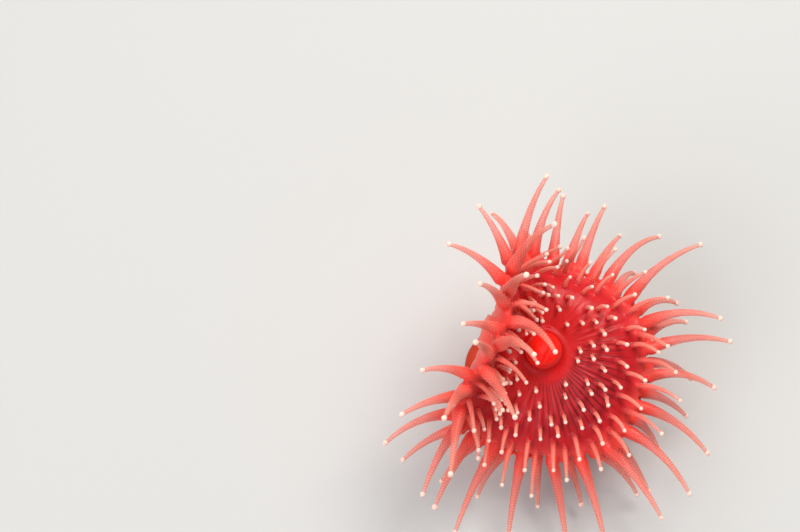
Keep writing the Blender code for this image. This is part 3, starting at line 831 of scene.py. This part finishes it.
# ================================================================ the balls at the tips
# Each tentacle ends in a round pale knob packed with stinging cells, firmer and cloudier than the
# stalk.  It sits on the narrow neck like a pinhead, and is a little longer than it is wide.
KNOB_RADII = {"upper": 0.00028, "lower": 0.00027, "disc": 0.00022}
KNOB_STRETCH = 1.10
KNOB_SPREAD = 0.10  # how much the knobs differ in size
KNOB_SEAT = 0.6  # how far the middle of a knob sits beyond the end of its stalk, in its own radii
KNOB_ROUNDNESS = {"upper": 3, "lower": 3, "disc": 2}


def knob_points(row):
    """A mesh of single points, one at each tip of the row, with its size and heading."""
    tips, sizes, headings = [], [], []
    for number, tentacle in enumerate(tentacles):
        if tentacle["row"] != row:
            continue
        line = tentacle["stalk"]["points"]
        radius = KNOB_RADII[row] * (1 + KNOB_SPREAD * scatter(number, 11))
        heading = unit(line[-1] - line[-3])
        tips.append(line[-1] + KNOB_SEAT * radius * heading)
        sizes.append([radius, radius, radius * KNOB_STRETCH])
        headings.append(heading)
    mesh = bpy.data.meshes.new(row + "_tips")
    mesh.from_pydata(np.array(tips).tolist(), [], [])
    write_attribute(mesh, "size", "FLOAT_VECTOR", np.array(sizes))
    write_attribute(mesh, "heading", "FLOAT_VECTOR", np.array(headings))
    return mesh


def knob_tree(material):
    tree, given = start_tree("knobs", Subdivisions="Int")
    ball_shape = {"Radius": 1.0, "Subdivisions": given.outputs["Subdivisions"]}
    ball = add_node(tree, "GeometryNodeMeshIcoSphere", ball_shape)
    size = add_node(tree, "GeometryNodeInputNamedAttribute", {"Name": "size"}, data_type="FLOAT_VECTOR")
    heading = add_node(tree, "GeometryNodeInputNamedAttribute", {"Name": "heading"}, data_type="FLOAT_VECTOR")
    turn = add_node(tree, "FunctionNodeAlignRotationToVector", {"Vector": heading}, axis="Z")
    placed = {"Points": given, "Instance": ball, "Rotation": turn, "Scale": size}
    end_tree(tree, add_node(tree, "GeometryNodeInstanceOnPoints", placed), material)
    return tree


def pale_flesh(name, colour, blush, roughness):
    """Cloudy pale flesh, with a faint grain of stinging cells about 0.1 mm across."""
    material = bpy.data.materials.new(name)
    material.use_nodes = True
    tree = material.node_tree
    shader = tree.nodes["Principled BSDF"]
    place = add_node(tree, "ShaderNodeTexCoord").outputs["Object"]
    cells = add_node(tree, "ShaderNodeTexVoronoi", {"Vector": place, "Scale": 9000.0})
    cloud = add_node(tree, "ShaderNodeTexNoise", {"Vector": place, "Scale": 1500.0, "Detail": 2.0})
    uneven = add_node(tree, "ShaderNodeMath", {0: cells, 1: cloud}, operation="ADD")
    amount = add_node(tree, "ShaderNodeMath", {0: uneven, 1: 0.45}, operation="MULTIPLY", use_clamp=True)
    mixed = {0: amount, 6: linear(colour), 7: linear(blush)}
    blushed = add_node(tree, "ShaderNodeMix", mixed, data_type="RGBA")
    bump = add_node(tree, "ShaderNodeBump", {"Height": cells, "Strength": 0.3, "Distance": 0.00002})
    tree.links.new(blushed.outputs[2], shader.inputs["Base Color"])
    tree.links.new(bump.outputs[0], shader.inputs["Normal"])
    shader.inputs["Roughness"].default_value = roughness
    shader.inputs["IOR"].default_value = 1.40
    shader.inputs["Subsurface Weight"].default_value = 0.4
    shader.inputs["Subsurface Radius"].default_value = (1.0, 0.5, 0.4)
    shader.inputs["Subsurface Scale"].default_value = 0.0004
    return material


knobs_at_tips = knob_tree(pale_flesh("cloudy_knob_flesh", "#FBE0D2", "#F2B4A4", 0.28))
for row, subdivisions in KNOB_ROUNDNESS.items():
    knobs = grow(row + "_knobs", knob_points(row), knobs_at_tips, Subdivisions=subdivisions)
    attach(knobs, "root")


# ================================================================ the beads on the stalks
# Rings of tiny raised batteries of stinging cells cross each stalk like the rungs of a ladder, each
# ring turned half a step against the last.  They are part of the live skin and slide with it.
RUNG_SPACING = 0.00028  # from one ring of beads to the next, along a stalk
BEAD_RADIUS = 0.000041
BEADS_PER_RING = {"upper": 10, "lower": 10, "disc": 7}
FIRST_RUNG = 0.06  # the shares of a stalk's length where the rings begin and end
LAST_RUNG = 0.95


def bead_tree(material):
    sizes = dict(Spacing="Float", Beads="Int", Radius="Float", First="Float", Last="Float")
    tree, given = start_tree("bead rings", **sizes)
    line = add_node(tree, "GeometryNodeMeshToCurve", {"Mesh": given})
    spaced = {"Curve": line, "Length": given.outputs["Spacing"]}
    rungs = add_node(tree, "GeometryNodeCurveToPoints", spaced, mode="LENGTH")
    share = add_node(tree, "GeometryNodeInputNamedAttribute", {"Name": "share"}, data_type="FLOAT")
    girth = add_node(tree, "GeometryNodeInputNamedAttribute", {"Name": "girth"}, data_type="FLOAT")
    root_side = {0: share, 1: given.outputs["First"]}
    neck_side = {0: share, 1: given.outputs["Last"]}
    beyond_root = add_node(tree, "FunctionNodeCompare", root_side, operation="GREATER_THAN")
    below_neck = add_node(tree, "FunctionNodeCompare", neck_side, operation="LESS_THAN")
    kept = add_node(tree, "FunctionNodeBooleanMath", {0: beyond_root, 1: below_neck}, operation="AND")

    # Every other ring is turned by half the angle between two beads.
    number = add_node(tree, "GeometryNodeInputIndex")
    odd = add_node(tree, "ShaderNodeMath", {0: number, 1: 2.0}, operation="MODULO")
    half_step = add_node(tree, "ShaderNodeMath", {0: pi, 1: given.outputs["Beads"]}, operation="DIVIDE")
    angle = add_node(tree, "ShaderNodeMath", {0: odd, 1: half_step}, operation="MULTIPLY")
    spin = add_node(tree, "FunctionNodeAxisAngleToRotation", {"Axis": (0.0, 0.0, 1.0), "Angle": angle})
    turned = {"Rotation": rungs.outputs["Rotation"], "Rotate By": spin}
    turn = add_node(tree, "FunctionNodeRotateRotation", turned, rotation_space="LOCAL")

    ring = add_node(tree, "GeometryNodeMeshCircle", {"Vertices": given.outputs["Beads"], "Radius": 1.0})
    rung = {"Points": rungs, "Selection": kept, "Instance": ring, "Rotation": turn, "Scale": girth}
    rings = add_node(tree, "GeometryNodeInstanceOnPoints", rung)
    real_rings = add_node(tree, "GeometryNodeRealizeInstances", {"Geometry": rings})
    bead_shape = {"Radius": given.outputs["Radius"], "Subdivisions": 1}
    bead = add_node(tree, "GeometryNodeMeshIcoSphere", bead_shape)
    beads = add_node(tree, "GeometryNodeInstanceOnPoints", {"Points": real_rings, "Instance": bead})
    end_tree(tree, beads, material)
    return tree


beads_on_stalks = bead_tree(pale_flesh("stinging_bead_flesh", "#F8AC9A", "#F08474", 0.4))
bead_sizes = dict(Spacing=RUNG_SPACING, Radius=BEAD_RADIUS, First=FIRST_RUNG, Last=LAST_RUNG)
for row, beads_per_ring in BEADS_PER_RING.items():
    row_lines = lines_mesh(row + "_lines", [t["stalk"] for t in tentacles if t["row"] == row])
    beads = grow(row + "_beads", row_lines, beads_on_stalks, Beads=beads_per_ring, **bead_sizes)
    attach(beads, "root")


# ================================================================ the stage
# A plain pale floor and soft studio light.  The camera looks steeply down into the open disc.
CAMERA_ELEVATION = radians(68)
CAMERA_DISTANCE = 0.204
CAMERA_LENS = 90.0
AIM_LEFT = 0.0146  # the view's middle lies this far to the left of the mouth, and above it
AIM_ABOVE = 0.0086
LAMP_TARGET = (0.0, 0.0, 0.012)
LAMPS = (
    dict(name="key", place=(0.12, 0.12, 0.34), size=0.22, power=1.30, colour="#FFFBF6"),
    dict(name="fill", place=(-0.22, -0.20, 0.24), size=0.34, power=1.15, colour="#F8FAFF"),
    dict(name="back", place=(-0.12, 0.30, 0.28), size=0.24, power=0.6, colour="#FFFBF6"),
)


def matte(name, colour):
    material = bpy.data.materials.new(name)
    material.use_nodes = True
    shader = material.node_tree.nodes["Principled BSDF"]
    shader.inputs["Base Color"].default_value = linear(colour)
    shader.inputs["Roughness"].default_value = 0.9
    return material


def add_lamp(name, place, size, power, colour):
    light = bpy.data.lights.new(name, "AREA")
    light.shape = "DISK"
    light.size = size
    light.energy = power
    light.color = linear(colour)[:3]
    lamp = bpy.data.objects.new(name, light)
    lamp.location = place
    lamp.rotation_mode = "QUATERNION"
    lamp.rotation_quaternion = (Vector(LAMP_TARGET) - Vector(place)).to_track_quat("-Z", "Y")
    bpy.context.scene.collection.objects.link(lamp)


floor_mesh = bpy.data.meshes.new("floor")
floor_mesh.from_pydata([(-2, -2, 0), (2, -2, 0), (2, 2, 0), (-2, 2, 0)], [], [(0, 1, 2, 3)])
floor_mesh.materials.append(matte("pale_matte_floor", "#BEBEBC"))
floor = link_mesh("floor", floor_mesh)
for lamp in LAMPS:
    add_lamp(**lamp)

world = bpy.data.worlds.new("studio")
world.use_nodes = True
world.node_tree.nodes["Background"].inputs["Color"].default_value = linear("#EEF0F2")
world.node_tree.nodes["Background"].inputs["Strength"].default_value = 0.26
bpy.context.scene.world = world
bpy.context.scene.view_settings.view_transform = "Standard"

camera_data = bpy.data.cameras.new("camera")
camera_data.lens = CAMERA_LENS
camera_data.sensor_width = 36.0
camera_data.clip_start = 0.01
camera = bpy.data.objects.new("camera", camera_data)
bpy.context.scene.collection.objects.link(camera)
towards_camera = Vector((0.0, -cos(CAMERA_ELEVATION), sin(CAMERA_ELEVATION)))
picture_right = Vector((1.0, 0.0, 0.0))
picture_up = towards_camera.cross(picture_right)
aim = Vector(DISC_CENTRE) - picture_right * AIM_LEFT + picture_up * AIM_ABOVE
turn = Matrix((picture_right, picture_up, towards_camera)).transposed().to_4x4()
camera.matrix_world = Matrix.Translation(aim + towards_camera * CAMERA_DISTANCE) @ turn
bpy.context.scene.camera = camera
